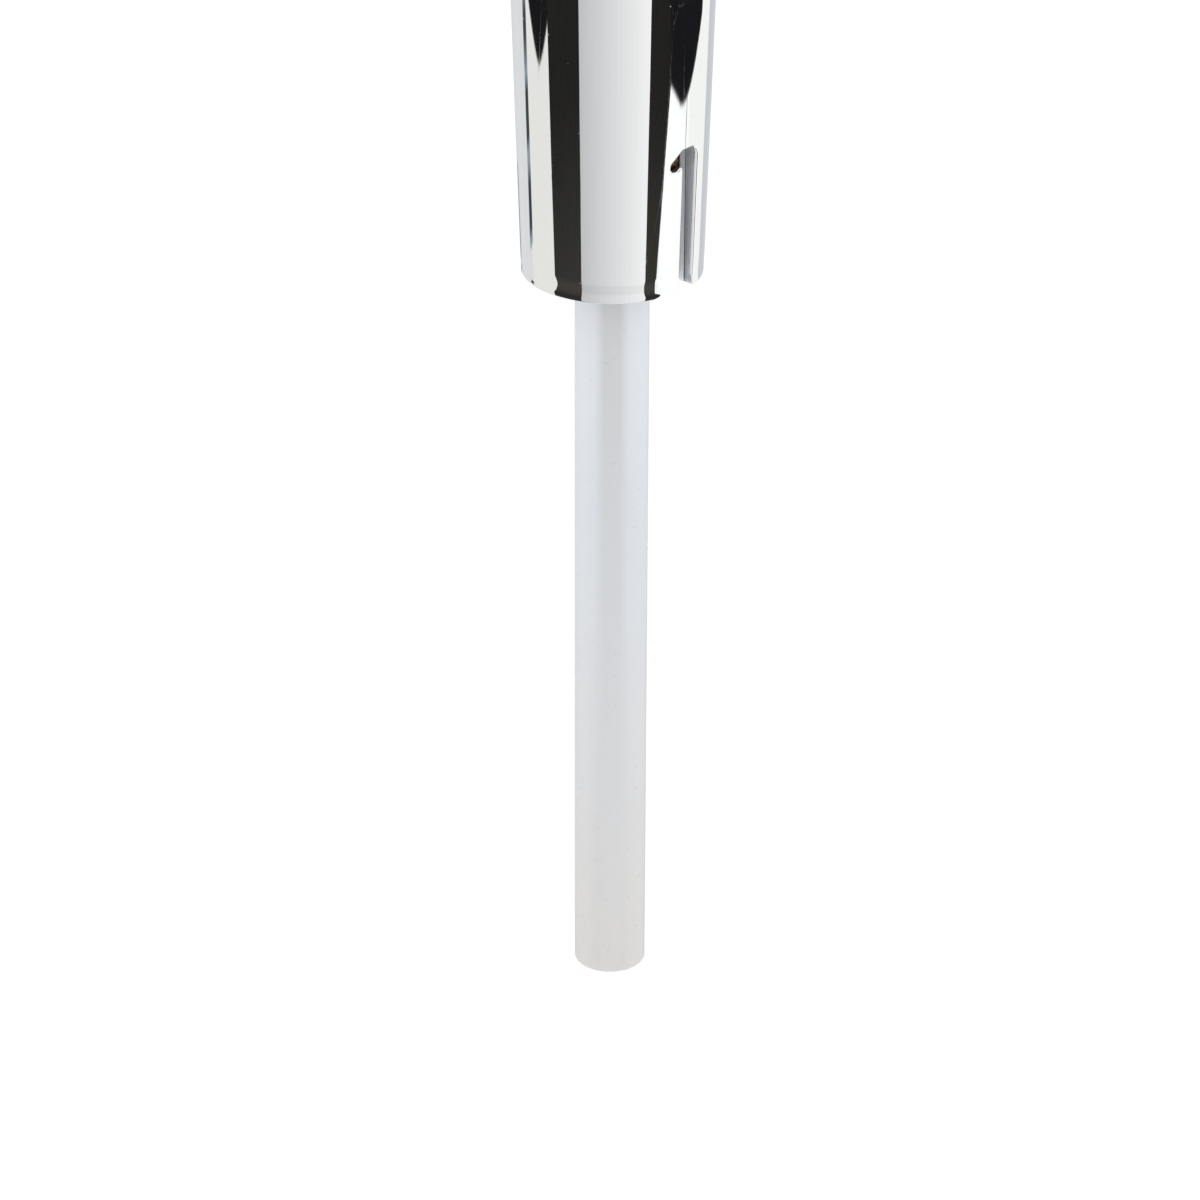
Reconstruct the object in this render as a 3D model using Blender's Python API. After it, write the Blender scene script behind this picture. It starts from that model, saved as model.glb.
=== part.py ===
"""A telescoping white cane: a chrome mouth sleeve and rubber grip, with four white tubes nested inside.

Metres, +Z up. The origin is the middle of the hand grip, on the cane's axis, and the tip points down.
Heights below are measured up from the rim of the chrome mouth, and every object hangs on one empty
that puts that rim at its place under the grip.
"""
import math

import bmesh
import bpy
from mathutils import Matrix, Vector

MM = 0.001

# Fits
REST_GAP = 0.30 * MM        # between faces that rest on each other
SLIDE_GAP = 0.10 * MM       # radial, on everything that slides or turns
BOND_GAP = 0.05 * MM        # radial, on what is pressed or bonded in

# Telescoping sections, the thickest is 1 and the tip is the last
SECTIONS = 4
TIP_RADIUS = 5.0 * MM
RADIUS_STEP = 1.25 * MM
TUBE_WALL = 0.60 * MM
STOWED_NOSE = 1.5 * MM      # height of the stowed noses, just inside the mouth
TIP_REACH = 107.2 * MM      # how far the tip section stands out of the mouth
TIP_STOWED = 2.2 * MM       # how far it still stands out when pushed home
STACK_TOP = 236.8 * MM
NOSE_LENGTH = 6.0 * MM
SPIGOT_LENGTH = 10.0 * MM
COLLAR_LENGTH = 6.0 * MM
COLLAR_LIP = 0.9 * MM
DRAG_RING_WIRE = 0.7 * MM
GROOVE_HEIGHT = 1.2 * MM
GROOVE_ABOVE_NOSE = 2.2 * MM
TIP_PLUG_LENGTH = 14.0 * MM
TIP_PLUG_PROUD = 0.3 * MM

# Chrome mouth sleeve
MOUTH_RADIUS = 12.15 * MM
MOUTH_TAPER = 0.0288        # radius gained for each unit of height
LINER_RADIUS = 10.80 * MM
MOUTH_BORE = 9.95 * MM
MOUTH_SHOULDER = 35.0 * MM
MOUTH_HEIGHT = 92.0 * MM
LIP_ROUND = 0.35 * MM
LINER_INSET = 0.10 * MM     # the liner ends this far inside the rim

# Bayonet slot: angles round the sleeve from its front (-Y) towards +X, and heights
SLOT_ANGLE = math.radians(53.0)
SLOT_TOP = 20.25 * MM
SLOT_HALF_WIDTH = 1.57 * MM
HOOK_HALF_WIDTH = 0.90 * MM
POCKET_ANGLE = math.radians(40.2)
POCKET_HEIGHT = 18.28 * MM
HOOK_END_ANGLE = math.radians(47.2)
HOOK_END_HEIGHT = 19.55 * MM

# Bayonet cartridge
BUSHING_LOW = 1.2 * MM
BUSHING_HIGH = 24.0 * MM
PIN_RADIUS = 0.7 * MM
PIN_REACH = 11.6 * MM
MAIN_DRAG_WIRE = 1.0 * MM
THRUST_WASHER = 0.8 * MM
STOP_RING = 1.5 * MM
SPRING_WIRE = 0.6 * MM
SPRING_TURNS = 4.5
SPRING_CLOSED_PITCH = 0.66 * MM

# Handle
CORE_RADIUS = 12.0 * MM
CORE_TOP = 262.0 * MM
TRIM_RING = 2.0 * MM
GRIP_RADIUS = 15.0 * MM
GRIP_TOP = 255.0 * MM
GRIP_FLAT = 14.1 * MM
BUFFER_LOW = 239.3 * MM
BUFFER_HEIGHT = 3.0 * MM
CAP_TOP = 266.0 * MM
CAP_UNDERSIDE = 262.3 * MM
SWIVEL_POST = 2.0 * MM
SWIVEL_HEAD = 3.4 * MM
EYE_RING = 5.6 * MM
EYE_WIRE = 1.4 * MM
SET_SCREW_RADIUS = 1.2 * MM

ROUND = 48                  # sides of the large shells
FINE = 32                   # sides of the turned pieces inside
SMOOTH_ANGLE = math.radians(32)

GRIP_LOW = MOUTH_HEIGHT + TRIM_RING + 2 * REST_GAP
GRIP_MIDDLE = (GRIP_LOW + GRIP_TOP) / 2


# ---------------------------------------------------------------- scene and materials

def clear_scene():
    for item in list(bpy.data.objects):
        bpy.data.objects.remove(item)


def finish(name, colour, roughness, metallic=0.0):
    material = bpy.data.materials.new(name)
    material.use_nodes = True
    shader = material.node_tree.nodes["Principled BSDF"]
    shader.inputs["Base Color"].default_value = (*colour, 1.0)
    shader.inputs["Roughness"].default_value = roughness
    shader.inputs["Metallic"].default_value = metallic
    return material


clear_scene()
CHROME = finish("chrome_plate", (0.78, 0.78, 0.77), 0.04, 1.0)
ENAMEL = finish("white_tube", (0.74, 0.75, 0.78), 0.32)
NYLON = finish("white_nylon", (0.68, 0.68, 0.66), 0.45)
ALUMINIUM = finish("satin_aluminium", (0.60, 0.61, 0.62), 0.30, 1.0)
BRASS = finish("aged_brass", (0.40, 0.27, 0.15), 0.35, 1.0)
STEEL = finish("spring_steel", (0.50, 0.50, 0.52), 0.25, 1.0)
RUBBER = finish("black_rubber", (0.020, 0.020, 0.021), 0.65)
PLASTIC = finish("black_plastic", (0.030, 0.030, 0.032), 0.40)

cane_frame = bpy.data.objects.new("cane_frame", None)
cane_frame.location = (0.0, 0.0, -GRIP_MIDDLE)
bpy.context.scene.collection.objects.link(cane_frame)


# ---------------------------------------------------------------- shape helpers

def add_object(name, mesh_data, material, centre=(0.0, 0.0, 0.0)):
    mesh_data.materials.append(material)
    item = bpy.data.objects.new(name, mesh_data)
    item.location = centre
    item.parent = cane_frame
    bpy.context.scene.collection.objects.link(item)
    return item


def shade_round(mesh_data):
    mesh_data.shade_smooth()
    mesh_data.set_sharp_from_angle(angle=SMOOTH_ANGLE)


def mesh_from(builder, name):
    bmesh.ops.recalc_face_normals(builder, faces=builder.faces)
    mesh_data = bpy.data.meshes.new(name)
    builder.to_mesh(mesh_data)
    builder.free()
    shade_round(mesh_data)
    return mesh_data


def turned_mesh(name, profile, sides):
    """A closed profile of (radius, height) turned round the Z axis."""
    builder = bmesh.new()
    rings = []
    for radius, height in profile:
        if radius == 0.0:
            rings.append([builder.verts.new((0.0, 0.0, height))])
            continue
        angles = [2 * math.pi * step / sides for step in range(sides)]
        rings.append([
            builder.verts.new((radius * math.cos(angle), radius * math.sin(angle), height))
            for angle in angles
        ])
    for first, second in zip(rings, rings[1:] + rings[:1]):
        if len(first) == 1 and len(second) == 1:
            continue
        for step in range(sides):
            following = (step + 1) % sides
            if len(first) == 1:
                builder.faces.new((first[0], second[step], second[following]))
            elif len(second) == 1:
                builder.faces.new((first[step], second[0], first[following]))
            else:
                builder.faces.new((first[step], second[step], second[following], first[following]))
    return mesh_from(builder, name)


def turned(name, profile, material, sides=FINE):
    return add_object(name, turned_mesh(name, profile, sides), material)


def tube_profile(inner, outer, low, high):
    return [(inner, low), (outer, low), (outer, high), (inner, high)]


def wire_profile(middle_radius, wire, height, corners=6):
    """The round section of a ring whose wire is centred on the given radius and height."""
    angles = [2 * math.pi * (corner + 0.5) / corners for corner in range(corners)]
    return [
        (middle_radius + wire / 2 * math.cos(angle), height + wire / 2 * math.sin(angle))
        for angle in angles
    ]


def mouth_outside(height):
    return MOUTH_RADIUS + MOUTH_TAPER * height


def bearing_of(angle_from_front):
    """The angle from +X of a place given by its angle from the front, which is -Y."""
    return angle_from_front - math.pi / 2


def milled_loop(start, end, half_width, radius, steps=10):
    """The round-ended slot that a radial end mill leaves at this radius, between two (angle, height) centres."""
    run = (end[0] - start[0]) * MOUTH_RADIUS
    heading = math.atan2(end[1] - start[1], run)
    loop = []
    for centre, first_angle in ((end, heading - math.pi / 2), (start, heading + math.pi / 2)):
        bearing = bearing_of(centre[0])
        outwards = Vector((math.cos(bearing), math.sin(bearing), 0.0))
        sideways = Vector((-math.sin(bearing), math.cos(bearing), 0.0))
        for step in range(steps + 1):
            angle = first_angle + math.pi * step / steps
            place = outwards * radius + sideways * (half_width * math.cos(angle))
            place.z = centre[1] + half_width * math.sin(angle)
            loop.append(place)
    return loop


def slot_cutter(name, start, end, half_width):
    """A cutter right through the mouth sleeve's wall."""
    builder = bmesh.new()
    inner = MOUTH_BORE - 1.5 * MM
    outer = mouth_outside(SLOT_TOP) + 2.0 * MM
    loops = [
        [builder.verts.new(place) for place in milled_loop(start, end, half_width, radius)]
        for radius in (inner, outer)
    ]
    count = len(loops[0])
    for step in range(count):
        following = (step + 1) % count
        builder.faces.new((loops[0][step], loops[0][following], loops[1][following], loops[1][step]))
    builder.faces.new(loops[0])
    builder.faces.new(loops[1])
    return as_cutter(add_object(name, mesh_from(builder, name), CHROME))


def rod_mesh(name, radius, low, high, sides):
    return turned_mesh(name, [(0.0, low), (radius, low), (radius, high), (0.0, high)], sides)


def point_outwards(item, bearing, height):
    """Lays an object that is modelled along +Z on the radius with this bearing."""
    item.rotation_euler = (0.0, math.pi / 2, bearing)
    item.location = (0.0, 0.0, height)
    return item


def as_cutter(item):
    item.hide_render = True
    item.display_type = "WIRE"
    return item


def cut(target, cutter, operation="DIFFERENCE"):
    modifier = target.modifiers.new(cutter.name, "BOOLEAN")
    modifier.operation = operation
    modifier.solver = "EXACT"
    modifier.object = cutter


# ---------------------------------------------------------------- telescoping sections

def section_radius(number):
    return TIP_RADIUS + RADIUS_STEP * (SECTIONS - number)


def section_bore(number):
    return section_radius(number) - TUBE_WALL


def guide_radius(number):
    """The bore that guides a section: the next thicker tube's, or the handle core's."""
    return MOUTH_BORE if number == 1 else section_bore(number - 1)


def stop_collar(number, tube_top):
    """The glide round a tube's top end, which stops against the ferrule or ring below it."""
    inner = section_radius(number) + BOND_GAP
    outer = guide_radius(number) - SLIDE_GAP
    lip = section_bore(number)
    seat = tube_top + REST_GAP
    top = seat + COLLAR_LIP
    low = tube_top - COLLAR_LENGTH
    chamfer = 0.25 * MM
    profile = [
        (inner, low), (outer, low), (outer, top - chamfer), (outer - chamfer, top),
        (lip, top), (lip, seat), (inner, seat),
    ]
    turned(f"stop_collar_{number}", profile, NYLON)


def ferrule(number, low):
    """The nose of a tube: it guides the next section and holds its drag ring in a groove."""
    outer = section_radius(number)
    bore = section_radius(number + 1) + SLIDE_GAP
    spigot = section_bore(number) - BOND_GAP
    groove = bore + DRAG_RING_WIRE + BOND_GAP
    groove_low = low + GROOVE_ABOVE_NOSE
    nose_top = low + NOSE_LENGTH
    round_off = 0.3 * MM
    profile = [
        (bore, low), (outer - round_off, low), (outer, low + round_off), (outer, nose_top),
        (spigot, nose_top), (spigot, nose_top + SPIGOT_LENGTH), (bore, nose_top + SPIGOT_LENGTH),
        (bore, groove_low + GROOVE_HEIGHT), (groove, groove_low + GROOVE_HEIGHT),
        (groove, groove_low), (bore, groove_low),
    ]
    turned(f"ferrule_{number}", profile, ENAMEL)
    ring_middle = bore + DRAG_RING_WIRE / 2
    ring_height = groove_low + GROOVE_HEIGHT / 2
    turned(f"drag_ring_{number}", wire_profile(ring_middle, DRAG_RING_WIRE, ring_height), RUBBER)


def tip_plug(low):
    """The nylon tip, bonded into the lowest tube, with its flat end a little proud."""
    radius = section_bore(SECTIONS) - BOND_GAP
    under = low - TIP_PLUG_PROUD
    round_off = 0.3 * MM
    profile = [
        (0.0, under), (radius - round_off, under), (radius, under + round_off),
        (radius, under + TIP_PLUG_LENGTH), (0.0, under + TIP_PLUG_LENGTH),
    ]
    turned("tip_plug", profile, NYLON)


def telescoping_section(number):
    radius = section_radius(number)
    bore = section_bore(number)
    if number < SECTIONS:
        ferrule(number, STOWED_NOSE)
        tube_low = STOWED_NOSE + NOSE_LENGTH + REST_GAP
        tube_top = STACK_TOP - COLLAR_LIP - REST_GAP
    else:
        tube_low = -TIP_REACH
        tube_top = STACK_TOP - COLLAR_LIP - REST_GAP - (TIP_REACH - TIP_STOWED)
        tip_plug(tube_low)
    edge = 0.12 * MM
    profile = [
        (bore, tube_low), (radius - edge, tube_low), (radius, tube_low + edge),
        (radius, tube_top), (bore, tube_top),
    ]
    turned(f"white_tube_{number}", profile, ENAMEL)
    stop_collar(number, tube_top)


# ---------------------------------------------------------------- mouth and bayonet cartridge

def cut_bayonet_slot(target):
    """Mills the straight slot and its hook through one layer of the mouth's wall."""
    slot_low = (SLOT_ANGLE, -3 * SLOT_HALF_WIDTH)
    slot_high = (SLOT_ANGLE, SLOT_TOP - SLOT_HALF_WIDTH)
    cut(target, slot_cutter(f"slot_cutter_{target.name}", slot_low, slot_high, SLOT_HALF_WIDTH))
    pocket = (POCKET_ANGLE, POCKET_HEIGHT)
    hook_end = (HOOK_END_ANGLE, HOOK_END_HEIGHT)
    cut(target, slot_cutter(f"hook_cutter_{target.name}", pocket, hook_end, HOOK_HALF_WIDTH))


def mouth_sleeve():
    """The chrome sleeve: a straight cone outside, a stepped bore, and the hooked slot in its rim."""
    counterbore = CORE_RADIUS + SLIDE_GAP
    bore = LINER_RADIUS + SLIDE_GAP
    top_round = 0.6 * MM
    top_radius = mouth_outside(MOUTH_HEIGHT)
    profile = [
        (bore, 0.0), (MOUTH_RADIUS - LIP_ROUND, 0.0),
        (MOUTH_RADIUS - 0.3 * LIP_ROUND, 0.3 * LIP_ROUND), (mouth_outside(LIP_ROUND), LIP_ROUND),
        (mouth_outside(MOUTH_SHOULDER), MOUTH_SHOULDER),
        (mouth_outside(MOUTH_HEIGHT - top_round), MOUTH_HEIGHT - top_round),
        (top_radius - top_round, MOUTH_HEIGHT), (counterbore, MOUTH_HEIGHT),
        (counterbore, MOUTH_SHOULDER), (bore, MOUTH_SHOULDER),
    ]
    cut_bayonet_slot(turned("chrome_mouth_sleeve", profile, CHROME, ROUND))


def mouth_liner():
    """The inner layer of the mouth's wall, slotted with the sleeve. The cartridge turns in its bore."""
    edge = 0.25 * MM
    top = MOUTH_SHOULDER - REST_GAP
    profile = [
        (MOUTH_BORE + edge, LINER_INSET), (LINER_RADIUS, LINER_INSET), (LINER_RADIUS, top),
        (MOUTH_BORE, top), (MOUTH_BORE, LINER_INSET + edge),
    ]
    cut_bayonet_slot(turned("mouth_liner", profile, STEEL, ROUND))


def bayonet_cartridge():
    """The bushing that guides the thickest tube, held in the slot's hook by its radial pin."""
    outer = MOUTH_BORE - SLIDE_GAP
    bore = section_radius(1) + SLIDE_GAP
    chamfer = 0.3 * MM
    profile = [
        (bore, BUSHING_LOW + chamfer), (bore + chamfer, BUSHING_LOW), (outer - chamfer, BUSHING_LOW),
        (outer, BUSHING_LOW + chamfer), (outer, BUSHING_HIGH), (bore, BUSHING_HIGH),
    ]
    bushing = turned("bayonet_bushing", profile, BRASS)
    bearing = bearing_of(POCKET_ANGLE)
    drill = rod_mesh("pin_drill", PIN_RADIUS + SLIDE_GAP, bore - MM, outer + MM, 16)
    drill_item = as_cutter(add_object("pin_drill", drill, BRASS))
    cut(bushing, point_outwards(drill_item, bearing, POCKET_HEIGHT))
    crown = 0.2 * MM
    pin_profile = [
        (0.0, bore + SLIDE_GAP), (PIN_RADIUS, bore + SLIDE_GAP), (PIN_RADIUS, PIN_REACH - crown),
        (PIN_RADIUS - crown, PIN_REACH), (0.0, PIN_REACH),
    ]
    pin = add_object("bayonet_pin", turned_mesh("bayonet_pin", pin_profile, 16), BRASS)
    point_outwards(pin, bearing, POCKET_HEIGHT)


def drag_and_thrust():
    """Above the bushing: the drag ring, the washer, the spring, and the stop ring that backs it."""
    ring_low = BUSHING_HIGH + REST_GAP
    ring_middle = section_radius(1) + SLIDE_GAP + MAIN_DRAG_WIRE / 2
    ring = wire_profile(ring_middle, MAIN_DRAG_WIRE, ring_low + MAIN_DRAG_WIRE / 2)
    turned("main_drag_ring", ring, RUBBER)
    washer_low = ring_low + MAIN_DRAG_WIRE + REST_GAP
    washer_top = washer_low + THRUST_WASHER
    washer_bore = section_radius(1) + 1.5 * SLIDE_GAP
    washer = tube_profile(washer_bore, MOUTH_BORE - SLIDE_GAP, washer_low, washer_top)
    turned("thrust_washer", washer, STEEL)
    stop_low = MOUTH_SHOULDER + REST_GAP
    stop = tube_profile(washer_bore, CORE_RADIUS - SLIDE_GAP, stop_low, stop_low + STOP_RING)
    turned("stop_ring", stop, STEEL)
    bayonet_spring(washer_top + REST_GAP, stop_low - REST_GAP)


def spring_height(turn, rise):
    """Height of the wire after so many turns: closed end coils, and open coils between."""
    open_turns = SPRING_TURNS - 2
    open_rise = rise - 2 * SPRING_CLOSED_PITCH
    if turn < 1:
        return turn * SPRING_CLOSED_PITCH
    if turn > SPRING_TURNS - 1:
        return rise - (SPRING_TURNS - turn) * SPRING_CLOSED_PITCH
    return SPRING_CLOSED_PITCH + (turn - 1) / open_turns * open_rise


def bayonet_spring(low, high):
    """The compression spring that keeps the pin down in the hook."""
    steps_each_turn = 20
    middle = (section_radius(1) + MOUTH_BORE) / 2
    rise = high - low - SPRING_WIRE
    steps = int(SPRING_TURNS * steps_each_turn)
    curve = bpy.data.curves.new("bayonet_spring", "CURVE")
    curve.dimensions = "3D"
    curve.bevel_depth = SPRING_WIRE / 2
    curve.bevel_resolution = 1
    curve.use_fill_caps = True
    spline = curve.splines.new("POLY")
    spline.points.add(steps)
    for step in range(steps + 1):
        turn = step / steps_each_turn
        angle = 2 * math.pi * turn
        height = low + SPRING_WIRE / 2 + spring_height(turn, rise)
        spline.points[step].co = (middle * math.cos(angle), middle * math.sin(angle), height, 1.0)
    add_object("bayonet_spring", curve, STEEL)


# ---------------------------------------------------------------- handle

def handle_core():
    low = MOUTH_SHOULDER + STOP_RING + 2 * REST_GAP
    turned("handle_core_tube", tube_profile(MOUTH_BORE, CORE_RADIUS, low, CORE_TOP), ALUMINIUM, ROUND)
    ring_low = MOUTH_HEIGHT + REST_GAP
    ring = tube_profile(CORE_RADIUS + SLIDE_GAP, GRIP_RADIUS - 0.2 * MM, ring_low, ring_low + TRIM_RING)
    turned("grip_trim_ring", ring, ALUMINIUM, ROUND)


def grip_sleeve():
    """The rubber grip: slightly barrelled, with a flat down its front for the index finger."""
    bore = CORE_RADIUS + SLIDE_GAP
    swell = 0.35 * MM
    end_round = 0.8 * MM
    stations = 8
    profile = [(bore, GRIP_LOW), (GRIP_RADIUS - end_round, GRIP_LOW)]
    for station in range(stations + 1):
        share = station / stations
        low = GRIP_LOW + end_round
        height = low + share * (GRIP_TOP - end_round - low)
        profile.append((GRIP_RADIUS + swell * math.sin(math.pi * share), height))
    profile += [(GRIP_RADIUS - end_round, GRIP_TOP), (bore, GRIP_TOP)]
    grip = turned("rubber_grip", profile, RUBBER, ROUND)
    for vertex in grip.data.vertices:
        vertex.co.y = max(vertex.co.y, -GRIP_FLAT)


def end_plug_and_buffer():
    """The plug that closes the core tube, and the buffer that the stowed tubes come up against."""
    outer = MOUTH_BORE - SLIDE_GAP
    low = BUFFER_LOW + BUFFER_HEIGHT + REST_GAP
    top = CORE_TOP - SLIDE_GAP
    hollow = 7.4 * MM
    hollow_top = low + 12.0 * MM
    pocket = SWIVEL_HEAD + 0.4 * MM
    pocket_low = top - 2.3 * MM
    profile = [
        (hollow, low), (outer, low), (outer, top), (pocket, top), (pocket, pocket_low),
        (0.0, pocket_low), (0.0, hollow_top), (hollow, hollow_top),
    ]
    turned("end_plug", profile, ALUMINIUM)
    buffer = tube_profile(3.0 * MM, outer - SLIDE_GAP, BUFFER_LOW, BUFFER_LOW + BUFFER_HEIGHT)
    turned("top_buffer", buffer, RUBBER)


def end_cap():
    """The domed cap over the core tube's end, with the radial screw that fixes it."""
    bore = CORE_RADIUS + SLIDE_GAP
    hole = SWIVEL_POST + SLIDE_GAP
    low = GRIP_TOP + REST_GAP
    edge = 0.4 * MM
    dome_height = 3.4 * MM
    dome_depth = 4.2 * MM
    dome_steps = 4
    profile = [(bore, low), (GRIP_RADIUS - edge, low), (GRIP_RADIUS, low + edge)]
    for step in range(dome_steps + 1):
        angle = math.pi / 2 * step / dome_steps
        profile.append((
            GRIP_RADIUS - dome_depth * (1 - math.cos(angle)),
            CAP_TOP - dome_height * (1 - math.sin(angle)),
        ))
    profile += [(hole, CAP_TOP), (hole, CAP_UNDERSIDE), (bore, CAP_UNDERSIDE)]
    cap = turned("end_cap", profile, PLASTIC, ROUND)
    screw_height = low + 3.6 * MM
    drill = rod_mesh("screw_drill", SET_SCREW_RADIUS + SLIDE_GAP, 11.0 * MM, 17.0 * MM, 16)
    cut(cap, point_outwards(as_cutter(add_object("screw_drill", drill, PLASTIC)), math.pi / 2, screw_height))
    inner_end = bore
    outer_end = GRIP_RADIUS - 0.3 * MM
    socket = 0.6 * MM
    socket_depth = 1.2 * MM
    screw_profile = [
        (0.0, inner_end), (SET_SCREW_RADIUS, inner_end), (SET_SCREW_RADIUS, outer_end),
        (socket, outer_end), (socket, outer_end - socket_depth), (0.0, outer_end - socket_depth),
    ]
    screw = add_object("cap_set_screw", turned_mesh("cap_set_screw", screw_profile, 12), STEEL)
    point_outwards(screw, math.pi / 2, screw_height)


def strap_swivel():
    """The eye for a wrist strap, on a post that turns in the cap with its head trapped beneath."""
    head_top = CAP_UNDERSIDE - REST_GAP
    head_low = head_top - 2.0 * MM
    collar_low = CAP_TOP + REST_GAP
    collar_top = collar_low + 1.5 * MM
    collar = 3.2 * MM
    profile = [
        (0.0, head_low), (SWIVEL_HEAD, head_low), (SWIVEL_HEAD, head_top), (SWIVEL_POST, head_top),
        (SWIVEL_POST, collar_low), (collar, collar_low), (collar, collar_top), (0.0, collar_top + 0.8 * MM),
    ]
    swivel = turned("strap_swivel", profile, STEEL)
    eye_middle = collar_top - 0.6 * MM + EYE_RING + EYE_WIRE
    ring = turned_mesh("eye_ring", wire_profile(EYE_RING, 2 * EYE_WIRE, 0.0, 10), 24)
    ring.transform(Matrix.Rotation(math.pi / 2, 4, "X"))
    eye = as_cutter(add_object("eye_ring", ring, STEEL, (0.0, 0.0, eye_middle)))
    cut(swivel, eye, "UNION")


for section_number in range(1, SECTIONS + 1):
    telescoping_section(section_number)
mouth_sleeve()
mouth_liner()
bayonet_cartridge()
drag_and_thrust()
handle_core()
grip_sleeve()
end_plug_and_buffer()
end_cap()
strap_swivel()
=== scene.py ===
"""A telescoping white cane, seen at the chrome mouth of its handle, with the lowest tube standing out."""

import math

import bmesh
import bpy
from mathutils import Matrix, Vector
from mathutils.geometry import area_tri, delaunay_2d_cdt

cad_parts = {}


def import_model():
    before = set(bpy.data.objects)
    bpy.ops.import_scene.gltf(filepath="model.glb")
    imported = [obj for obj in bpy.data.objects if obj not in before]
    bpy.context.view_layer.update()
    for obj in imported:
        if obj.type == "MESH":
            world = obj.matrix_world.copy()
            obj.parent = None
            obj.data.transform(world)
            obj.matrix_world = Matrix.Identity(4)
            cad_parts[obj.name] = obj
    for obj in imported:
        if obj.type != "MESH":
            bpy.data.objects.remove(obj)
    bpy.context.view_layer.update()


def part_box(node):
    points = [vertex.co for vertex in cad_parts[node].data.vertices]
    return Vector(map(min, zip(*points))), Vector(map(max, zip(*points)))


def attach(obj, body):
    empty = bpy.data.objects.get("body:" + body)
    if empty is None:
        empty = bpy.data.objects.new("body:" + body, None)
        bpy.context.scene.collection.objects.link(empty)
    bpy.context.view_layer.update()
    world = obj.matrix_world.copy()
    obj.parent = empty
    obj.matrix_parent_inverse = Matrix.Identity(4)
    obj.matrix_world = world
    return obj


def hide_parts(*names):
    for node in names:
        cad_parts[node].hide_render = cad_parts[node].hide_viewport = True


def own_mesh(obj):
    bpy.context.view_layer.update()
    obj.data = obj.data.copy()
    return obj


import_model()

MM = 0.001
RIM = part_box("chrome_mouth_sleeve")[0].z     # the rim of the mouth: heights below are above it, in mm
SLEEVE_TOP = (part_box("chrome_mouth_sleeve")[1].z - RIM) / MM

# The mouth's wall, in mm
MOUTH_RADIUS = 12.15
TAPER = 0.0288
SLEEVE_BORE = 10.9
LINER_RADIUS = 10.87
LINER_BORE = 9.95
LINER_INSET = 0.1
SHOULDER = 35.0
CORE_RADIUS = 12.0

# The bayonet slot: angles from the front (-Y) towards +X, in degrees, and the rest in mm
SLOT_ANGLE = 53.0
SLOT_TOP = 20.25
SLOT_HALF_WIDTH = 1.50
POCKET_ANGLE = 40.2
POCKET_HEIGHT = 18.28
HOOK_END_ANGLE = 47.2
HOOK_END_HEIGHT = 19.55
HOOK_HALF_WIDTH = 0.80
SLOT_CORNER = 0.9          # round of the two corners where the slot meets the rim
TONGUE_CORNER = 0.40       # round of the wall's point between slot and hook
TOP_CORNER = 0.9           # round where the hook runs into the slot's top

# The lip: a shallow waist just above the rim, and a slight flare below it, in mm
WAIST = 0.9
WAIST_TOP = 3.0
WAIST_DEPTH = 0.035
LIP_FLARE = 0.010

# The camera: in front of the cane and above its mouth, in mm, looking down
CAMERA_DISTANCE = 553.8
CAMERA_ABOVE_RIM = 239.4
CAMERA_PITCH = math.radians(27.577)
CAMERA_YAW = math.radians(-0.157)
CAMERA_ROLL = math.radians(0.144)
CAMERA_LENS = 135.94
SENSOR = 36.0

SHARP_ANGLE = 35           # degrees between faces, from which an edge is shaded as sharp


# ---------------------------------------------------------------- camera

def make_camera():
    forward = Vector((
        math.sin(CAMERA_YAW) * math.cos(CAMERA_PITCH),
        math.cos(CAMERA_YAW) * math.cos(CAMERA_PITCH),
        -math.sin(CAMERA_PITCH),
    ))
    level_right = forward.cross(Vector((0, 0, 1))).normalized()
    level_up = level_right.cross(forward)
    right = math.cos(CAMERA_ROLL) * level_right + math.sin(CAMERA_ROLL) * level_up
    up = math.cos(CAMERA_ROLL) * level_up - math.sin(CAMERA_ROLL) * level_right
    data = bpy.data.cameras.new("camera")
    data.sensor_width = SENSOR
    data.lens = CAMERA_LENS
    data.clip_start = 0.01
    data.clip_end = 50.0
    camera = bpy.data.objects.new("camera", data)
    bpy.context.scene.collection.objects.link(camera)
    turn = Matrix((right, up, -forward)).transposed().to_4x4()
    place = Vector((0.0, -CAMERA_DISTANCE * MM, RIM + CAMERA_ABOVE_RIM * MM))
    camera.matrix_world = Matrix.Translation(place) @ turn
    bpy.context.scene.camera = camera
    bpy.context.scene.view_settings.view_transform = "Standard"


make_camera()


# ---------------------------------------------------------------- material helpers

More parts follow.
